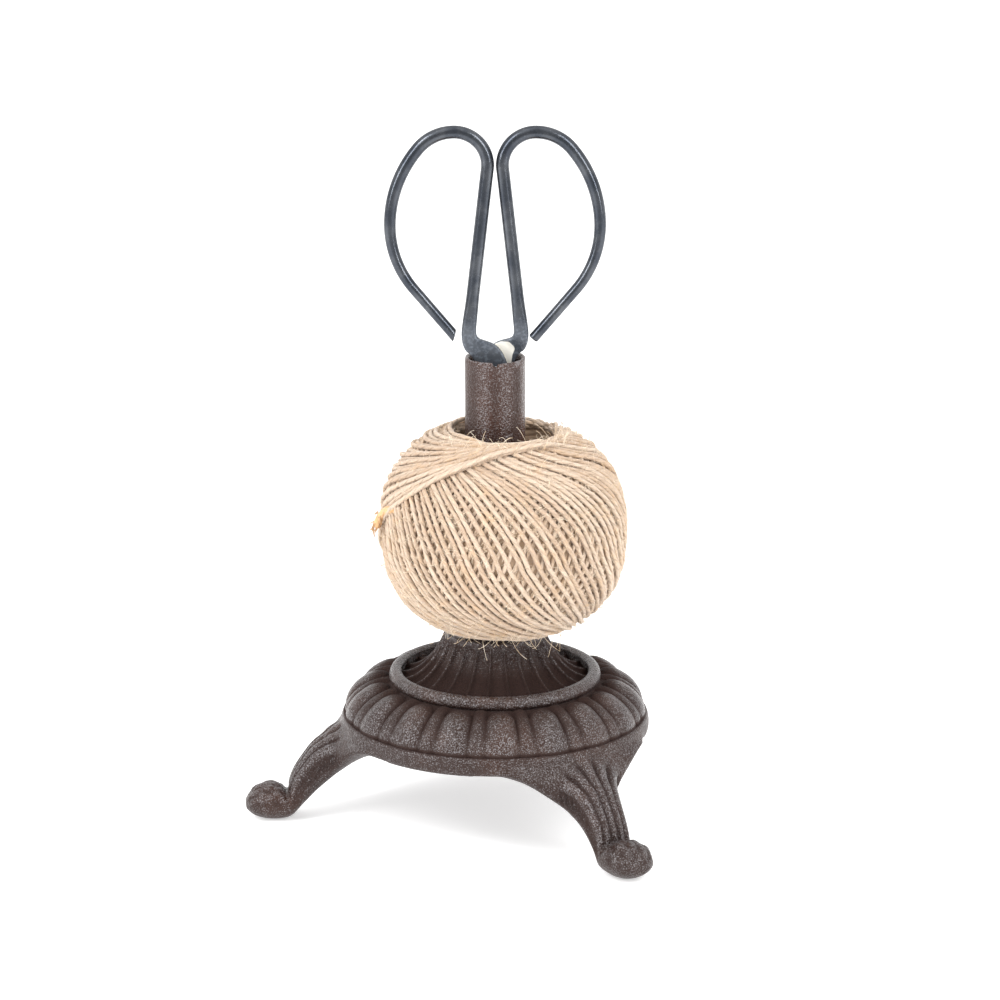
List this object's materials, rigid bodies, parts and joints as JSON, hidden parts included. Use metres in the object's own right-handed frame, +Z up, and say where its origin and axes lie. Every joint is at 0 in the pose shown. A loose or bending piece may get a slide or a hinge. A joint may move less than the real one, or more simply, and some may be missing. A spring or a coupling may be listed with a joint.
{
  "type": "string holder",
  "caption": "Cast iron table stand for string: a fluted domed base on curled legs carries a tubular post; a ball of twine turns on the post and loop-handled scissors stand in it.",
  "frame": {"origin": "on the table plane, under the axis of the post", "axes": "+Z up along the post, -Y towards the front that the picture shows, +X to the right seen from the front"},
  "size_m": [0.1507, 0.1641, 0.2596],
  "materials": {
    "cast_iron_brown": "rough dark brown lacquer over sand-cast iron",
    "plain_steel": "plain satin",
    "gunmetal_steel": "blued satin",
    "jute_twine": "matt, hairy"
  },
  "bodies": {
    "stand": {"base_casting": "cast_iron_brown", "post_tube": "cast_iron_brown", "post_plug": "plain_steel", "fixing_bolt": "plain_steel", "flat_washer": "plain_steel", "spring_washer": "plain_steel"},
    "twine_ball": {"twine_core": "jute_twine", "twine_winding": "jute_twine"},
    "scissor_pivot": {"pivot_rivet": "plain_steel", "rivet_washer": "plain_steel"},
    "scissor_left": {"scissor_half_front": "gunmetal_steel"},
    "scissor_right": {"scissor_half_rear": "gunmetal_steel"}
  },
  "joints": [
    {"name": "twine_spin", "type": "hinge", "parent": "stand", "child": "twine_ball", "pos_m": [0.0034, 0, 0.1077], "axis": [0, 0, 1], "continuous": true},
    {"name": "scissors_lift", "type": "slide", "parent": "stand", "child": "scissor_pivot", "axis": [0, 0, 1], "range_m": [0, 0.11]},
    {"name": "right_half_open", "type": "hinge", "parent": "scissor_pivot", "child": "scissor_right", "pos_m": [0, 0, 0.168], "axis": [0, 1, 0], "range_deg": [0, 4]},
    {"name": "left_half_open", "type": "hinge", "parent": "scissor_pivot", "child": "scissor_left", "pos_m": [0, 0, 0.168], "axis": [0, -1, 0], "range_deg": [0, 4]}
  ],
  "couplings": [
    {"joint": "left_half_open", "follows": "right_half_open", "ratio": 1}
  ]
}
